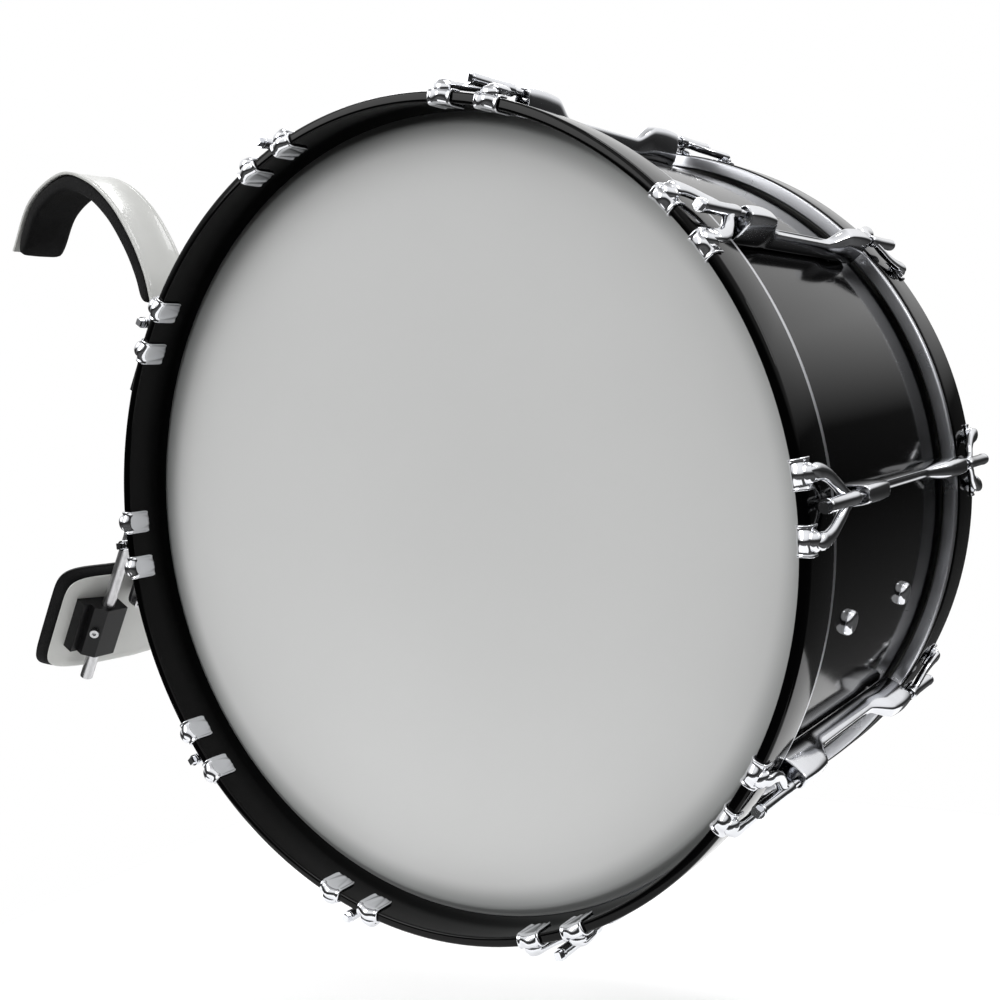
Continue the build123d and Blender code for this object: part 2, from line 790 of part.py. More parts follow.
for name, front, back, rim in (
    ("belly_plate", 0, belly_sheet, 0),
    ("belly_pad", belly_sheet, belly_sheet + belly_pad, belly_pad_rim),
):
    half_width = belly_half + rim
    height = belly_top - belly_bottom + 2 * rim
    with BuildPart() as belly_layer:
        with BuildSketch(carrier_section(belly_bottom - height / 2)):
            with BuildLine():
                near = belly_arc(front, half_width + belly_corner)
                far = belly_arc(back, half_width + belly_corner)
                Line(near @ 0, far @ 0)
                Line(near @ 1, far @ 1)
            make_face()
        extrude(amount=2 * height)
        with BuildSketch(carrier_face(belly_edge - 60)):
            with Locations((0, (belly_bottom + belly_top) / 2)):
                RectangleRounded(2 * half_width, height, belly_corner)
        extrude(amount=100, mode=Mode.INTERSECT)
    save(belly_layer.part, name)

with BuildPart() as tube_sliders:
    with BuildSketch(carrier_section(slider_bottom)):
        with BuildLine():
            Polyline(
                (slider_face, slider_inner),
                (slider_face, slider_outer - slider_slope),
                (slider_face - slider_slope, slider_outer),
                (belly_front + 4, slider_outer),
                (belly_front + 4, slider_flange),
                (belly_edge, slider_flange),
                (belly_edge, slider_inner),
                close=True,
            )
        make_face()
        mirror(about=Plane.XZ)
        with Locations(*tube_centres):
            Circle(tube_radius + running_gap, mode=Mode.SUBTRACT)
        with Locations(belly_centre):
            Circle(belly_radius, mode=Mode.SUBTRACT)
    extrude(amount=slider_top - slider_bottom)
    for name, sign in sides():
        with BuildSketch(clamp_plane(sign)):
            Circle(clamp_screw_radius + running_gap)
        extrude(amount=-8, mode=Mode.SUBTRACT)
save(tube_sliders.part, "tube_sliders")

for name, sign in sides():
    with BuildPart() as clamp_screw:
        with BuildSketch(clamp_plane(sign).offset(slide_gap)):
            Circle(4.6)
        extrude(amount=4)
        with BuildSketch(clamp_plane(sign).offset(slide_gap)):
            Circle(clamp_screw_radius)
        extrude(amount=-5)
        with BuildSketch(clamp_plane(sign).offset(slide_gap + 4)):
            RegularPolygon(2.3, 6)
        extrude(amount=-2.5, mode=Mode.SUBTRACT)
    save(clamp_screw.part, f"clamp_screw_{name}")

with BuildPart() as belly_glides:
    with BuildSketch(carrier_section(-342)):
        with Locations(*[((spine_back - slide_gap + belly_edge) / 2, y) for y in (-22, 22)]):
            Rectangle(spine_back - slide_gap - belly_edge, 18)
        with Locations(belly_centre):
            Circle(belly_radius, mode=Mode.SUBTRACT)
    extrude(amount=20)
save(belly_glides.part, "belly_glides")
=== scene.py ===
import bpy
import json
from math import atan2, cos, exp, pi, radians, sin, sqrt
from mathutils import Matrix, Vector


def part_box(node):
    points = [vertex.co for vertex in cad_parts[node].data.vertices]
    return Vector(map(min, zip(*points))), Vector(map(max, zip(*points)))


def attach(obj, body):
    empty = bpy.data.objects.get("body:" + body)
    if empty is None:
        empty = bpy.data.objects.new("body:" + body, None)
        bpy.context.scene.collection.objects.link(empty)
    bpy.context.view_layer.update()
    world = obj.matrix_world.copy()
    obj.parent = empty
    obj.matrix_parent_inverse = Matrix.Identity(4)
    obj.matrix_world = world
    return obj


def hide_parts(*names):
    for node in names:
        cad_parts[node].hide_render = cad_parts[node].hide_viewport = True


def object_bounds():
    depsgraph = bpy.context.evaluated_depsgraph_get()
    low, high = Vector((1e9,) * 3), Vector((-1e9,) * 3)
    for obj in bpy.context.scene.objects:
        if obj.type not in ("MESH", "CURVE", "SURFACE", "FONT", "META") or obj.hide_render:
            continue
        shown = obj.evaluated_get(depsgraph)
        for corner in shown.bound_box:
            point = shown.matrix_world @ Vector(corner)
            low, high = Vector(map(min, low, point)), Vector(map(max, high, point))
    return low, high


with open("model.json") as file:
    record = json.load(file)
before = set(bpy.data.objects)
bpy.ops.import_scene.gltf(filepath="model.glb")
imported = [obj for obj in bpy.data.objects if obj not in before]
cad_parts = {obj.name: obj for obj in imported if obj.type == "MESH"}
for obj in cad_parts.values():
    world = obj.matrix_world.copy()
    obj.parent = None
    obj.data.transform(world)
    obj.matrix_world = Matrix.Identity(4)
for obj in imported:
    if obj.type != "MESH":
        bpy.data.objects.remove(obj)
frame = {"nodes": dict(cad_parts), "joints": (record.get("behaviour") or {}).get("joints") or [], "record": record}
cad_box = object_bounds()
nodes = frame["nodes"]
joints = {joint["name"]: joint for joint in frame["joints"]}
MM = 0.001


# ---- Places read from the frame ----
shell_low, shell_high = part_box("shell")
drum = (shell_low + shell_high) / 2
shell_radius = (shell_high - shell_low).x / 2
shell_half = (shell_high - shell_low).y / 2
hoop_low, hoop_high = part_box("counterhoop_rear")
hoop_radius = (hoop_high - hoop_low).x / 2
hoop_wall = 8 * MM
hoop_start = hoop_low.y - drum.y
hoop_end = hoop_high.y - drum.y
lug_low, lug_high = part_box("lugs")
lug_half = lug_high.y - drum.y
lug_top = lug_high.x - drum.x
rod_low, rod_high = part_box("tension_rod_rear_01")
rod_centre = (rod_low + rod_high) / 2 - drum
rod_circle = sqrt(rod_centre.x**2 + rod_centre.z**2)
first_angle = atan2(rod_centre.x, rod_centre.z)
lug_count = 10
lug_angles = [first_angle + 2 * pi * step / lug_count for step in range(lug_count)]
up = Vector(joints["belly_slide"]["axis"])
drumward = Vector(joints["thumb_turn_front"]["axis"])
across = Vector((0, 1, 0))


# ---- Mesh helpers ----
def make(name, vertices, faces, material, body, stands_for=(), slot=None, levels=0, sharp=40):
    """A mesh object with its material and its body, hiding the CAD nodes that it stands for."""
    mesh = bpy.data.meshes.new(name)
    mesh.from_pydata([tuple(v) for v in vertices], [], faces)
    mesh.validate()
    mesh.update()
    for polygon in mesh.polygons:
        polygon.use_smooth = True
    if not levels:
        mesh.set_sharp_from_angle(angle=radians(sharp))
    piece = bpy.data.objects.new(name, mesh)
    bpy.context.scene.collection.objects.link(piece)
    piece.data.materials.append(material)
    if levels:
        smooth = piece.modifiers.new("smooth", "SUBSURF")
        smooth.levels = levels
        smooth.render_levels = levels
    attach(piece, body)
    if stands_for:
        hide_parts(*stands_for)
    return piece


def grid_faces(rows, columns, close_rows=False, close_columns=False, start=0):
    """Quads over a grid of vertices stored row by row."""
    faces = []
    for row in range(rows if close_rows else rows - 1):
        below = (row + 1) % rows
        for column in range(columns if close_columns else columns - 1):
            right = (column + 1) % columns
            faces.append(
                (
                    start + row * columns + column,
                    start + row * columns + right,
                    start + below * columns + right,
                    start + below * columns + column,
                )
            )
    return faces


def lathe(name, profile, material, slot, stands_for, segments=288):
    """A closed profile of (radius, y) points turned around the drum's axis."""
    vertices = []
    for step in range(segments):
        angle = 2 * pi * step / segments
        for radius, y in profile:
            vertices.append(drum + Vector((radius * sin(angle), y, radius * cos(angle))))
    faces = grid_faces(segments, len(profile), True, True)
    return make(name, vertices, faces, material, "drum", stands_for, slot)


def round_corners(points, radii, steps=5):
    """A closed outline whose corners are rounded to these radii."""
    outline = []
    for index, corner in enumerate(points):
        here = Vector(corner)
        before = (Vector(points[index - 1]) - here).normalized()
        after = (Vector(points[(index + 1) % len(points)]) - here).normalized()
        radius = radii[index]
        if radius == 0:
            outline.append(corner)
            continue
        for step in range(steps + 1):
            t = step / steps
            first = here + before * radius * (1 - t)
            second = here + after * radius * t
            outline.append(tuple(first * (1 - t) + second * t))
    return outline


def through(points, count):
    """Points evenly spread along a smooth curve through the given ones."""
    points = [Vector(point) for point in points]
    ends = [2 * points[0] - points[1]] + points + [2 * points[-1] - points[-2]]
    spread = []
    for step in range(count):
        place = step / (count - 1) * (len(points) - 1)
        span = min(int(place), len(points) - 2)
        t = place - span
        a, b, c, d = ends[span : span + 4]
        square = 2 * a - 5 * b + 4 * c - d
        cube = 3 * b - a - 3 * c + d
        spread.append(0.5 * ((2 * b) + (c - a) * t + square * t**2 + cube * t**3))
    return spread


def tube(points, widths, heights, side_hint, ring=16):
    """Vertices and faces of an elliptical tube along points, widest along side_hint."""
    vertices = []
    for index, point in enumerate(points):
        ahead = points[min(index + 1, len(points) - 1)] - points[max(index - 1, 0)]
        ahead.normalize()
        lift = ahead.cross(side_hint).normalized()
        side = lift.cross(ahead).normalized()
        for step in range(ring):
            angle = 2 * pi * step / ring
            vertices.append(point + side * cos(angle) * widths[index] + lift * sin(angle) * heights[index])
    faces = grid_faces(len(points), ring, False, True)
    faces.append(tuple(range(ring))[::-1])
    faces.append(tuple(range((len(points) - 1) * ring, len(points) * ring)))
    return vertices, faces


def merge(*shapes):
    """One list of vertices and faces from several."""
    vertices = []
    faces = []
    for some_vertices, some_faces in shapes:
        base = len(vertices)
        vertices.extend(some_vertices)
        faces.extend(tuple(base + index for index in face) for face in some_faces)
    return vertices, faces


def turned(vertices, angle, end=1):
    """Vertices made at the top of a drum about the origin, turned to their place around this one."""
    place = Matrix.Translation(drum) @ Matrix.Rotation(angle, 4, "Y") @ Matrix.Diagonal((1, end, 1, 1))
    return [place @ Vector(vertex) for vertex in vertices]


# ---- Materials ----
def material(name, colour, roughness, metallic=0.0, coat=0.0, sheen=0.0, specular=0.5, **detail):
    """A surface whose colour, roughness and height vary with noise, stretched along the detail's axis."""
    made = bpy.data.materials.new(name)
    made.use_nodes = True
    tree = made.node_tree
    shader = tree.nodes["Principled BSDF"]
    shader.inputs["Metallic"].default_value = metallic
    shader.inputs["Coat Weight"].default_value = coat
    shader.inputs["Coat Roughness"].default_value = 0.03
    shader.inputs["Sheen Weight"].default_value = sheen
    shader.inputs["Specular IOR Level"].default_value = specular
    place = tree.nodes.new("ShaderNodeTexCoord")
    stretch = tree.nodes.new("ShaderNodeMapping")
    stretch.inputs["Scale"].default_value = detail.get("stretch", (1, 1, 1))
    stretch.inputs["Rotation"].default_value = detail.get("turn", (0, 0, 0))
    tree.links.new(place.outputs["Object"], stretch.inputs["Vector"])
    fine = tree.nodes.new("ShaderNodeTexNoise")
    fine.inputs["Scale"].default_value = detail.get("fine", 400)
    fine.inputs["Detail"].default_value = 4
    broad = tree.nodes.new("ShaderNodeTexNoise")
    broad.inputs["Scale"].default_value = detail.get("broad", 9)
    broad.inputs["Detail"].default_value = 3
    for noise in (fine, broad):
        tree.links.new(stretch.outputs["Vector"], noise.inputs["Vector"])
    tint = tree.nodes.new("ShaderNodeValToRGB")
    spread = detail.get("spread", 0.12)
    tint.color_ramp.elements[0].position = 0.3
    tint.color_ramp.elements[1].position = 0.7
    tint.color_ramp.elements[0].color = [c * (1 - spread) for c in colour] + [1]
    tint.color_ramp.elements[1].color = [min(c * (1 + spread), 1) for c in colour] + [1]
    tree.links.new(broad.outputs["Fac"], tint.inputs["Fac"])
    tree.links.new(tint.outputs["Color"], shader.inputs["Base Color"])
    polish = tree.nodes.new("ShaderNodeMapRange")
    change = detail.get("uneven", 0.3)
    polish.inputs["To Min"].default_value = roughness * (1 - change)
    polish.inputs["To Max"].default_value = min(roughness * (1 + change), 1)
    tree.links.new(fine.outputs["Fac"], polish.inputs["Value"])
    tree.links.new(polish.outputs["Result"], shader.inputs["Roughness"])
    height = tree.nodes.new("ShaderNodeBump")
    height.inputs["Strength"].default_value = detail.get("bump", 0.1)
    height.inputs["Distance"].default_value = detail.get("depth", 0.0002)
    source = fine
    if "weave" in detail:
        source = tree.nodes.new("ShaderNodeTexVoronoi")
        source.inputs["Scale"].default_value = detail["weave"]
        tree.links.new(stretch.outputs["Vector"], source.inputs["Vector"])
    tree.links.new(source.outputs["Distance" if "weave" in detail else "Fac"], height.inputs["Height"])
    tree.links.new(height.outputs["Normal"], shader.inputs["Normal"])
    return made


def film_material():
    """Frosted drum film, with painted shade that darkens it towards its collar, where the hoop's shadow falls."""
    pale = (0.69, 0.695, 0.69)
    made = material("drum_film", pale, 0.42, specular=0.35, spread=0.02, fine=900, bump=0.06, broad=4)
    tree = made.node_tree
    shader = tree.nodes["Principled BSDF"]
    geometry = tree.nodes.new("ShaderNodeTexCoord")
    centred = tree.nodes.new("ShaderNodeVectorMath")
    centred.operation = "SUBTRACT"
    centred.inputs[1].default_value = drum
    flat = tree.nodes.new("ShaderNodeVectorMath")
    flat.operation = "MULTIPLY"
    flat.inputs[1].default_value = (1, 0, 1)
    reach = tree.nodes.new("ShaderNodeVectorMath")
    reach.operation = "LENGTH"
    tree.links.new(geometry.outputs["Object"], centred.inputs[0])
    tree.links.new(centred.outputs["Vector"], flat.inputs[0])
    tree.links.new(flat.outputs["Vector"], reach.inputs[0])
    # Painted shade: a mask from 0.93 of the shell's radius out to its edge and beyond, standing in for the hoop's
    # shadow on the film.
    rim = tree.nodes.new("ShaderNodeMapRange")
    rim.inputs["From Min"].default_value = shell_radius * 0.93
    rim.inputs["From Max"].default_value = shell_radius
    rim.interpolation_type = "SMOOTHSTEP"
    tree.links.new(reach.outputs["Value"], rim.inputs["Value"])
    # Inside the mask the film's colour is multiplied by grey: painted shade by the hoop.
    mix = tree.nodes.new("ShaderNodeMixRGB")
    mix.blend_type = "MULTIPLY"
    mix.inputs["Color2"].default_value = (0.55, 0.56, 0.56, 1)
    tree.links.new(rim.outputs["Result"], mix.inputs["Fac"])
    source = shader.inputs["Base Color"].links[0].from_socket
    tree.links.new(source, mix.inputs["Color1"])
    tree.links.new(mix.outputs["Color"], shader.inputs["Base Color"])
    return made


lacquer = material(
    "black_lacquer", (0.0006, 0.0006, 0.0007), 0.08, specular=0.15, fine=160, broad=3, bump=0.02
)
film = film_material()
aluminium = material(
    "bare_aluminium", (0.62, 0.63, 0.66), 0.3, 1.0, fine=120, stretch=(0.3, 40, 0.3), bump=0.06
)
chrome = material(
    "chrome_plate", (0.78, 0.79, 0.82), 0.1, 1.0, fine=700, broad=30, spread=0.05, bump=0.03
)
steel = material("steel_fastener", (0.5, 0.5, 0.51), 0.3, 1.0, fine=600, bump=0.1)
black_plate = material("black_plate", (0.016, 0.016, 0.018), 0.42, fine=900, bump=0.25, uneven=0.2)
brushed = material(
    "brushed_tube", (0.56, 0.56, 0.57), 0.3, 1.0,
    fine=90, stretch=(30, 30, 0.6), turn=(0, radians(-34), 0), bump=0.25
)
pearl = material(
    "grey_plate", (0.58, 0.585, 0.565), 0.36, coat=0.35, fine=500, broad=14, spread=0.05, bump=0.05
)
foam = material(
    "black_foam", (0.004, 0.004, 0.0045), 0.9, sheen=0.06, specular=0.2, weave=900, bump=0.7,
    depth=0.0006, broad=40, spread=0.4
)
plastic = material("black_plastic", (0.004, 0.004, 0.0045), 0.36, specular=0.25, fine=1100, bump=0.2)
nylon = material("white_nylon", (0.72, 0.72, 0.69), 0.5, fine=500, spread=0.04)

finishes = {
    "black_lacquer": lacquer,
    "drum_film": film,
    "bare_aluminium": aluminium,
    "chrome_plate": chrome,
    "steel_fastener": steel,
    "black_plate": black_plate,
    "brushed_tube": brushed,
    "grey_plate": pearl,
    "black_foam": foam,
    "black_plastic": plastic,
    "white_nylon": nylon,
}
for part in frame["record"]["subparts"]:
    piece = nodes[part["node"]]
    piece.data.materials.clear()
    piece.data.materials.append(finishes[part["material_slot"]])


# ---- Shell, heads and hoops ----
def build_shell():
    inner = shell_radius - 7 * MM
    outline = [(inner, -shell_half + 5 * MM), (shell_radius - 2 * MM, -shell_half)]
    outline += [(shell_radius, -shell_half + 2 * MM), (shell_radius, shell_half - 2 * MM)]
    outline += [(shell_radius - 2 * MM, shell_half), (inner, shell_half - 5 * MM)]
    lathe("drum_shell", outline, lacquer, "black_lacquer", ["shell"])


def build_ends():
    for name, end in (("front", -1), ("rear", 1)):
        thick = 0.5 * MM
        skin = [(0.00001, shell_half), (shell_radius * 0.5, shell_half)]
        # The skin's collar runs out over the flesh hoop's face, where the film material's painted shade darkens it
        # at full strength.
        for beyond, fall in ((-4, 0), (-1.5, 0.1), (0.6, 0.9), (2.6, 3), (6.2, 4.9)):
            skin.append((shell_radius + beyond * MM, shell_half - fall * MM))
        outer = [(radius, y + thick) for radius, y in skin]
        profile = [(radius, end * y) for radius, y in skin + outer[::-1]]
        lathe(f"head_film_{name}", profile, film, "drum_film", [f"head_{name}"])
        low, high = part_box(f"flesh_hoop_{name}")
        start, stop = low.y - drum.y, high.y - drum.y
        outer_radius = (high - low).x / 2
        inner_radius = outer_radius - 10.7 * MM
        ring = [(inner_radius, start), (outer_radius, start), (outer_radius, stop), (inner_radius, stop)]
        ring = round_corners(ring, [1.5 * MM] * 4, 4)
        lathe(f"flesh_ring_{name}", ring, aluminium, "bare_aluminium", [f"flesh_hoop_{name}"])
        inner_radius = hoop_radius - hoop_wall
        band = [(inner_radius, end * hoop_start), (hoop_radius, end * hoop_start)]
        band += [(hoop_radius, end * hoop_end), (inner_radius, end * hoop_end)]
        band = round_corners(band, [0.9 * MM, 1.6 * MM, 2.6 * MM, 2.2 * MM], 5)
        lathe(f"hoop_{name}", band, lacquer, "black_lacquer", [f"counterhoop_{name}"])


# ---- Lugs ----
lug_beam = 54 * MM
lug_hood = 82 * MM


def lug_section(y):
    """Half width and top of a lug at a distance from its middle."""
    beam_top = shell_radius + 16.5 * MM
    if y <= lug_beam:
        return 4.2 * MM, beam_top
    if y >= lug_hood:
        flare = (y - lug_hood) / (lug_half - lug_hood)
        return (7.4 + 0.6 * sin(flare * pi)) * MM, lug_top - (1.2 - 1.2 * sin(flare * pi)) * MM
    t = (y - lug_beam) / (lug_hood - lug_beam)
    t = t * t * (3 - 2 * t)
    return (4.2 + 3.2 * t) * MM, beam_top + (lug_top - 1.2 * MM - beam_top) * t


def lug_loop(y, inset, steps=20):
    """One closed section of a lug, from its foot on the shell round its top and back."""
    half, top = lug_section(y)
    half -= inset
    top -= inset
    foot = sqrt(shell_radius**2 - half**2) + inset * 1.4
    squareness = 0.42
    flute = 1.8 * MM
    loop = []
    for step in range(steps + 1):
        angle = pi * step / steps
        x = -cos(angle)
        z = sin(angle)
        wide = half * abs(x) ** squareness * (1 if x > 0 else -1)
        high = foot + (top - foot) * z**0.5
        if y < lug_beam and abs(step - steps / 2) < 2:
            high -= flute
        loop.append((wide, high))
    return loop


def build_lugs():
    steps = 20
    stations = [0, 30, 50, 54, 58, 63, 68, 73, 76, 79, 82, 90, 100, 110, 117, 121.4]
    stations = [y * MM for y in stations]
    rings = []
    for y in stations:
        rings.append([(x, y, z) for x, z in lug_loop(y, 0)])
    for y, inset in ((122, 0.7), (121.4, 1.7), (112, 2.1), (96, 2.6), (88, 4.5)):
        rings.append([(x, y * MM, z) for x, z in lug_loop(min(y, 121) * MM, inset * MM)])
    shapes = []
    for end in (-1, 1):
        vertices = [(x, end * y, z) for ring in rings for x, y, z in ring]
        faces = grid_faces(len(rings), steps + 1, False, True)
        faces.append(tuple(range((len(rings) - 1) * (steps + 1), len(rings) * (steps + 1))))
        if end < 0:
            faces = [face[::-1] for face in faces]
        shapes.append((vertices, faces))
    vertices, faces = merge(*shapes)
    everything = [(turned(vertices, angle), faces) for angle in lug_angles]
    vertices, faces = merge(*everything)
    make("lug_castings", vertices, faces, chrome, "drum", ["lugs"], "chrome_plate", levels=1)


# ---- Claws ----
def finger_sheet(centre):
    """A ribbed plate hooked over the hoop's edge: inner tongue, wrap and outer lip."""
    inner = hoop_radius - hoop_wall
    route = [(hoop_end - depth * MM, inner, (0, -1)) for depth in (20.4, 18.6, 16.4, 13.6, 10.6, 7.6, 5, 3)]
    inner_bend = 2.2 * MM
    outer_bend = 2.6 * MM
    for step in range(5):
        turn = pi / 2 * step / 4
        y = hoop_end - inner_bend + inner_bend * sin(turn)
        route.append((y, inner + inner_bend - inner_bend * cos(turn), (sin(turn), -cos(turn))))
    for step in range(5):
        turn = pi / 2 * step / 4
        y = hoop_end - outer_bend + outer_bend * cos(turn)
        route.append((y, hoop_radius - outer_bend + outer_bend * sin(turn), (cos(turn), sin(turn))))
    route += [(hoop_end - depth * MM, hoop_radius, (0, 1)) for depth in (5, 7.5, 10)]
    columns = 17
    upper = []
    lower = []
    for index, (y, radius, (out_y, out_r)) in enumerate(route):
        along = index / (len(route) - 1)
        for column in range(columns):
            w = -1 + 2 * column / (columns - 1)
            half = (10 if index > 1 else 8.6 + 0.7 * index) * MM
            tip = 1.6 * MM * abs(w) ** 2 if index == 0 else 0
            relief = 1.1
            if abs(w) > 0.78:
                relief += 1.0
            elif index < 9:
                ridge = abs(abs(w) - 0.25 - 0.5 * index / 9)
                relief += 0.75 * exp(-((ridge / 0.12) ** 2))
            relief += 3.4 * exp(-(((along - 0.66) / 0.13) ** 2) - (w / 0.62) ** 2)
            angle = centre + w * half / inner
            lift = relief * MM
            for store, push in ((upper, lift), (lower, 0.15 * MM)):
                r = radius + out_r * push
                store.append((r * sin(angle), y + out_y * push + tip, r * cos(angle)))
    rows = len(route)
    vertices = upper + lower
    faces = grid_faces(rows, columns)
    faces += [face[::-1] for face in grid_faces(rows, columns, start=rows * columns)]
    offset = rows * columns
    for column in range(columns - 1):
        for row in (0, rows - 1):
            a, b = row * columns + column, row * columns + column + 1
            quad = (a, b, b + offset, a + offset)
            faces.append(quad[::-1] if row == 0 else quad)
    for row in range(rows - 1):
        for column in (0, columns - 1):
            a, b = row * columns + column, (row + 1) * columns + column
            quad = (a, b, b + offset, a + offset)
            faces.append(quad if column == 0 else quad[::-1])
    return vertices, faces


def claw_arm(side):
    """A horn-like arm from a finger's knuckle round to the sleeve."""
    out = hoop_radius
    route = [
        (20.5, hoop_end / MM + 0.6, out / MM + 1.2),
        (21, hoop_end / MM - 4, out / MM + 4.4),
        (20.5, hoop_end / MM - 12, out / MM + 5.0),
        (17.5, hoop_end / MM - 22, out / MM + 5.6),
        (11.5, hoop_end / MM - 32, out / MM + 6.6),
        (5, hoop_end / MM - 40, out / MM + 8.2),
        (1.5, hoop_end / MM - 47, out / MM + 9.5),
    ]
    points = through([(side * x * MM, y * MM, z * MM) for x, y, z in route], 25)
    widths = []
    heights = []
    for index in range(25):
        t = index / 24
        widths.append((3.2 + 3.6 * sin(min(t * 5, 1) * pi / 2) - 3.2 * t) * MM)
        heights.append((2.6 + 1.4 * sin(min(t * 5, 1) * pi / 2) - 1.4 * t) * MM)
    return tube(points, widths, heights, Vector((side, 0.6, 0)).normalized(), 14)


def knuckle_ball(side):
    """The rounded knuckle where a finger wraps the hoop's edge."""
    centre = Vector((side * 20.5 * MM, hoop_end - 1.5 * MM, hoop_radius + 1.4 * MM))
    rings = 9
    around = 16
    vertices = []
    for row in range(rings):
        polar = pi * (row + 0.5) / rings
        for step in range(around):
            angle = 2 * pi * step / around
            wide = sin(polar) * cos(angle)
            deep = sin(polar) * sin(angle)
            vertices.append(centre + Vector((7.4 * wide, 4.4 * deep, 4.9 * cos(polar))) * MM)
    faces = grid_faces(rings, around, False, True)
    faces.append(tuple(range(around))[::-1])
    faces.append(tuple(range((rings - 1) * around, rings * around)))
    return vertices, faces


def claw_sleeve():
    """The bored sleeve that the tension rod passes through, flanged at both ends."""
    rows = [(3.0, 190), (4.2, 190), (4.9, 189.3), (4.9, 187.6), (4.5, 187), (4.5, 150)]
    rows += [(4.9, 146), (5.0, 138.5), (4.4, 136.2), (3.4, 136), (2.85, 136.8), (2.85, 189)]
    ring = 24
    vertices = []
    for radius, y in rows:
        for step in range(ring):
            angle = 2 * pi * step / ring
            vertices.append((radius * MM * cos(angle), y * MM, rod_circle + radius * MM * sin(angle)))
    return vertices, grid_faces(len(rows), ring, True, True)


def build_claws():
    pitch = 20.5 * MM / hoop_radius
    shapes = [claw_sleeve()]
    for side in (-1, 1):
        shapes += [finger_sheet(side * pitch), claw_arm(side), knuckle_ball(side)]
    vertices, faces = merge(*shapes)
    for name, end in (("front", -1), ("rear", 1)):
        turned_faces = faces if end > 0 else [face[::-1] for face in faces]
        everything = [(turned(vertices, angle, end), turned_faces) for angle in lug_angles]
        shape = merge(*everything)
        make(f"claws_{name}_cast", *shape, chrome, "drum", [f"claws_{name}"], "chrome_plate", levels=1)


# ---- Shoulder straps and pads ----
strap_line = [(-500, 297), (-465, 339), (-414, 356), (-375, 343)]
strap_line += [(-344, 315), (-322, 280), (-309, 247), (-304, 219)]
foot_low, foot_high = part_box("shoulder_strap_rear")
strap_y = (foot_low.y + foot_high.y) / 2


def strap_frame(points):
    """Each point with the direction square to the path, towards the shoulder."""
    framed = []
    for index, point in enumerate(points):
        ahead = points[min(index + 1, len(points) - 1)] - points[max(index - 1, 0)]
        ahead.normalize()
        framed.append((point, Vector((ahead.z, 0, -ahead.x))))
    return framed


def build_strap(name, sign):
    foot_top = drum + drumward * -0.358 + up * -0.008
    foot_end = drum + drumward * -0.358 + up * -0.089
    points = [drum + Vector((x * MM, 0, z * MM)) for x, z in strap_line]
    points = through([*points, foot_top, (foot_top + foot_end) / 2, foot_end], 90)
    edge = [(25, 1.4), (24.6, 0.3), (23.6, 0.2), (22.8, 0.7)]
    edge += [(21.6, 0.8), (20.8, 0.3), (19.8, 0.3), (19, 0.9)]
    section = [(-width, depth) for width, depth in edge] + [(0, 0.6)] + edge[::-1]
    section += [(24.6, 2.8), (0, 2.9), (-24.6, 2.8)]
    vertices = []
    for point, inward in strap_frame(points):
        for width, depth in section:
            vertices.append(point + Vector((0, sign * strap_y + width * MM, 0)) + inward * depth * MM)
    faces = grid_faces(len(points), len(section), False, True)
    faces.append(tuple(range(len(section)))[::-1])
    faces.append(tuple(range((len(points) - 1) * len(section), len(points) * len(section))))
    stands_for = [f"shoulder_strap_{name}"]
    make(f"strap_{name}_formed", vertices, faces, pearl, f"strap_{name}", stands_for, "grey_plate", sharp=50)


def build_pad(name, sign):
    points = [drum + Vector((x * MM, 0, z * MM)) for x, z in strap_line]
    framed = strap_frame(through(points, 64))
    ring = 28
    vertices = []
    rows = len(framed)
    for index, (point, inward) in enumerate(framed):
        t = index / (rows - 1)
        ends = min(t, 1 - t) * 16
        swell = sqrt(max(1 - (1 - min(ends, 1)) ** 2, 0.02))
        for step in range(ring):
            angle = 2 * pi * step / ring
            x = cos(angle)
            z = sin(angle)
            wide = 24.2 * abs(x) ** 0.3 * (1 if x > 0 else -1) * (0.93 + 0.07 * swell)
            deep = 7.2 * abs(z) ** 0.45 * (1 if z > 0 else -1) * swell
            crown = 0.9 * (1 - (wide / 25) ** 2) if z > 0 else 0
            across_strap = Vector((0, sign * strap_y + wide * MM, 0))
            vertices.append(point + across_strap + inward * (10.3 + deep + crown) * MM)
    faces = grid_faces(rows, ring, False, True)
    faces.append(tuple(range(ring))[::-1])
    faces.append(tuple(range((rows - 1) * ring, rows * ring)))
    stands_for = [f"shoulder_pad_{name}"]
    pad = make(f"pad_{name}_foam", vertices, faces, foam, f"strap_{name}", stands_for, "black_foam", levels=1)


# ---- Belly plate and pad ----
def belly_spot(y, height, depth):
    """A point on the belly plate's curve: y across, height up the tubes, depth towards the wearer."""
    radius = 0.5465
    bend = radius - sqrt(radius**2 - y**2)
    return drum + up * height + drumward * (-0.3934 - bend - depth) + across * y


def belly_slab(half_width, bottom, top, depths, rows=40):
    """A rounded slab on the belly's curve; depths gives its front and back at a distance from its edge."""
    middle = (bottom + top) / 2
    half_height = (top - bottom) / 2
    vertices = []
    columns = 72
    squareness = 2 / 7.5
    for row in range(rows + 1):
        reach = row / rows
        for step in range(columns):
            angle = 2 * pi * step / columns
            x = abs(cos(angle)) ** squareness * (1 if cos(angle) > 0 else -1)
            z = abs(sin(angle)) ** squareness * (1 if sin(angle) > 0 else -1)
            vertices.append((x * half_width, z * half_height, reach))
    placed = []
    for face in (0, 1):
        for x, z, reach in vertices:
            inset = (1 - reach) * min(half_width, half_height)
            depth = depths(inset)[face]
            placed.append(belly_spot(x * reach, middle + z * reach, depth))
    count = len(vertices)
    faces = grid_faces(rows + 1, columns, False, True)
    back = [tuple(index + count for index in face)[::-1] for face in faces]
    rim = []
    base = rows * columns
    for step in range(columns):
        after = (step + 1) % columns
        rim.append((base + step + count, base + after + count, base + after, base + step))
    return placed, faces + back + rim


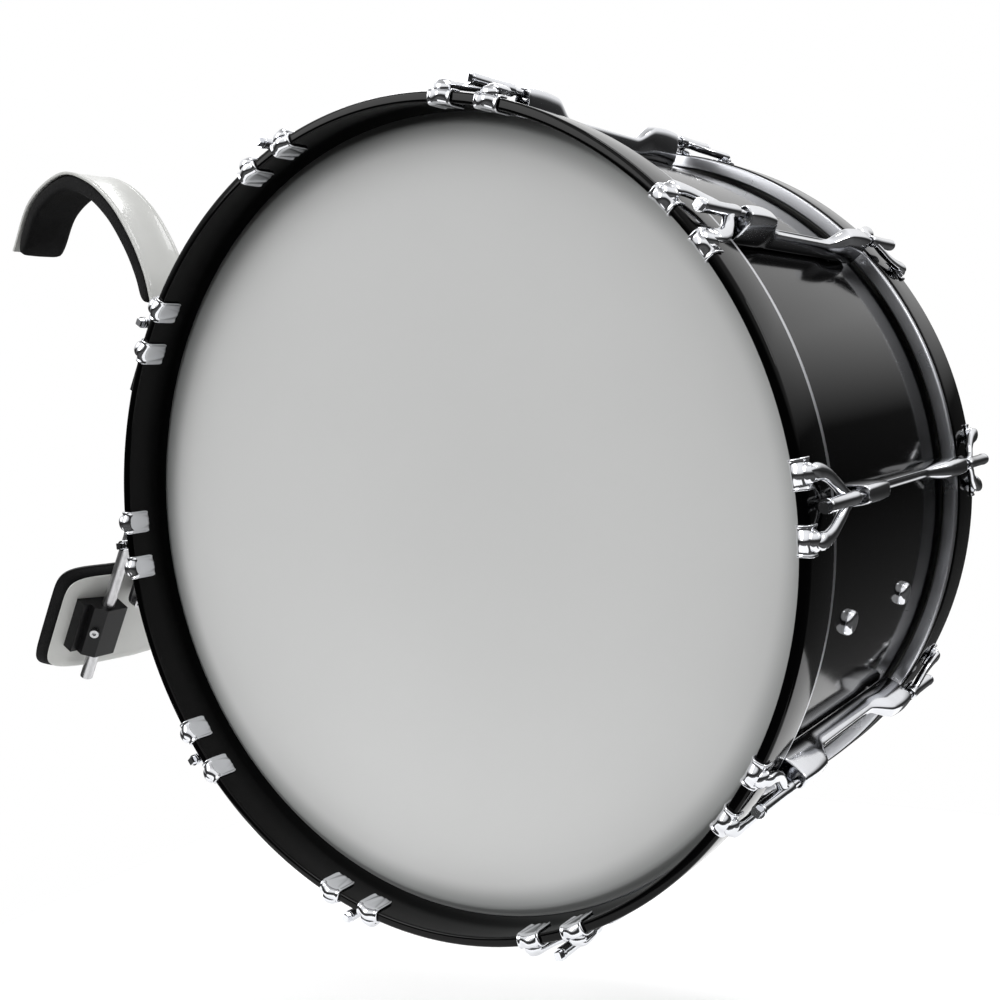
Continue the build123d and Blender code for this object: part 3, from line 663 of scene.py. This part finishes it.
def build_belly():
    low, high = -0.437, -0.318
    half = 0.112
    rim = 0.005

    def plate_depths(inset):
        bead = 0.8 * MM * exp(-(((inset - 6 * MM) / (2 * MM)) ** 2))
        edge = 1.0 * MM * max(0, 1 - inset / (1.2 * MM)) ** 2
        return (edge - bead * 0.3 + 0.2 * MM, 2.9 * MM - edge)

    def pad_depths(inset):
        shape = sqrt(max(1 - max(0, 1 - inset / (10 * MM)) ** 2, 0))
        crown = min(inset / (50 * MM), 1)
        middle = 13.2 * MM
        return (middle - 9.8 * MM * shape, middle + (8.6 * shape + 1.9 * crown) * MM)

    vertices, faces = belly_slab(half, low, high, plate_depths)
    make("belly_plate_formed", vertices, faces, pearl, "belly_unit", ["belly_plate"], "grey_plate", sharp=50)
    vertices, faces = belly_slab(half + rim, low - rim, high + rim, pad_depths)
    pad = make("belly_pad_foam", vertices, faces, foam, "belly_unit", ["belly_pad"], "black_foam", levels=1)


build_shell()
build_ends()
build_lugs()
build_claws()
for name, sign in (("front", -1), ("rear", 1)):
    build_strap(name, sign)
    build_pad(name, sign)
build_belly()


# ---- Studio: floor, backdrop light and camera ----
def build_studio():
    # The floor lies below the drum at the end of its swing.
    low, high = cad_box
    swing_room = 0.2
    bpy.ops.mesh.primitive_plane_add(size=1.6, location=((low.x + high.x) / 2, 0, low.z - swing_room))
    floor = bpy.context.object
    floor.name = "floor"
    paper = bpy.data.materials.new("paper")
    paper.use_nodes = True
    surface = paper.node_tree.nodes["Principled BSDF"]
    surface.inputs["Base Color"].default_value = (0.9, 0.9, 0.9, 1)
    surface.inputs["Roughness"].default_value = 0.9
    surface.inputs["Emission Color"].default_value = (1, 1, 1, 1)
    surface.inputs["Emission Strength"].default_value = 0.15
    floor.data.materials.append(paper)
    world = bpy.data.worlds.new("studio")
    bpy.context.scene.world = world
    world.use_nodes = True
    sky = world.node_tree
    seen = sky.nodes["Background"]
    seen.inputs["Color"].default_value = (1, 1, 1, 1)
    seen.inputs["Strength"].default_value = 1.0
    dim = sky.nodes.new("ShaderNodeBackground")
    dim.inputs["Strength"].default_value = 1.0
    heading = sky.nodes.new("ShaderNodeTexCoord")
    parts = sky.nodes.new("ShaderNodeSeparateXYZ")
    bands = sky.nodes.new("ShaderNodeValToRGB")
    bands.color_ramp.elements[0].color = (0.03, 0.03, 0.03, 1)
    bands.color_ramp.elements[1].color = (0.35, 0.35, 0.35, 1)
    for height, glow in ((0.3, 0.1), (0.46, 0.02), (0.54, 0.04), (0.64, 0.9), (0.84, 1.1)):
        bands.color_ramp.elements.new(height).color = (glow, glow, glow, 1)
    lift = sky.nodes.new("ShaderNodeMapRange")
    lift.inputs["From Min"].default_value = -1
    sky.links.new(heading.outputs["Generated"], parts.inputs["Vector"])
    sky.links.new(parts.outputs["Z"], lift.inputs["Value"])
    sky.links.new(lift.outputs["Result"], bands.inputs["Fac"])
    sky.links.new(bands.outputs["Color"], dim.inputs["Color"])
    ray = sky.nodes.new("ShaderNodeLightPath")
    mix = sky.nodes.new("ShaderNodeMixShader")
    sky.links.new(ray.outputs["Is Camera Ray"], mix.inputs["Fac"])
    sky.links.new(dim.outputs["Background"], mix.inputs[1])
    sky.links.new(seen.outputs["Background"], mix.inputs[2])
    sky.links.new(mix.outputs["Shader"], sky.nodes["World Output"].inputs["Surface"])
    softboxes = [
        ("key", (-1.6, -2.6, 1.9), 1.6, 46),
        ("side", (2.9, 0.9, 1.7), 0.5, 16),
        ("edge", (-1.6, 2.2, 1.6), 0.8, 22),
        ("top", (1.0, 0.3, 2.6), 0.7, 22),
    ]
    for name, offset, size, power in softboxes:
        lamp = bpy.data.lights.new(name, "AREA")
        lamp.shape = "RECTANGLE"
        lamp.size = size
        lamp.size_y = size * 1.6
        lamp.energy = power
        light = bpy.data.objects.new(name, lamp)
        light.location = drum + Vector(offset)
        light.rotation_euler = (-Vector(offset)).to_track_quat("-Z", "Y").to_euler()
        bpy.context.scene.collection.objects.link(light)


def build_camera():
    """Eye, turn and lens: to the front head's right, looking slightly down, rolled a little."""
    azimuth, fall, roll = radians(34.84), radians(2.918), radians(-6.024)
    camera = bpy.data.objects.new("camera", bpy.data.cameras.new("camera"))
    bpy.context.scene.collection.objects.link(camera)
    ahead = Vector((-sin(azimuth) * cos(fall), cos(azimuth) * cos(fall), -sin(fall)))
    level = ahead.cross(Vector((0, 0, 1))).normalized()
    lift = level.cross(ahead)
    right = level * cos(roll) + lift * sin(roll)
    top = right.cross(ahead)
    turn = Matrix((right, top, -ahead)).transposed()
    camera.matrix_world = Matrix.Translation(drum + Vector((0.592108, -0.911869, 0.06226))) @ turn.to_4x4()
    camera.data.sensor_width = 36
    camera.data.lens = 44.884
    camera.data.clip_start = 0.01
    bpy.context.scene.camera = camera
    bpy.context.scene.view_settings.view_transform = "Standard"


build_studio()
build_camera()
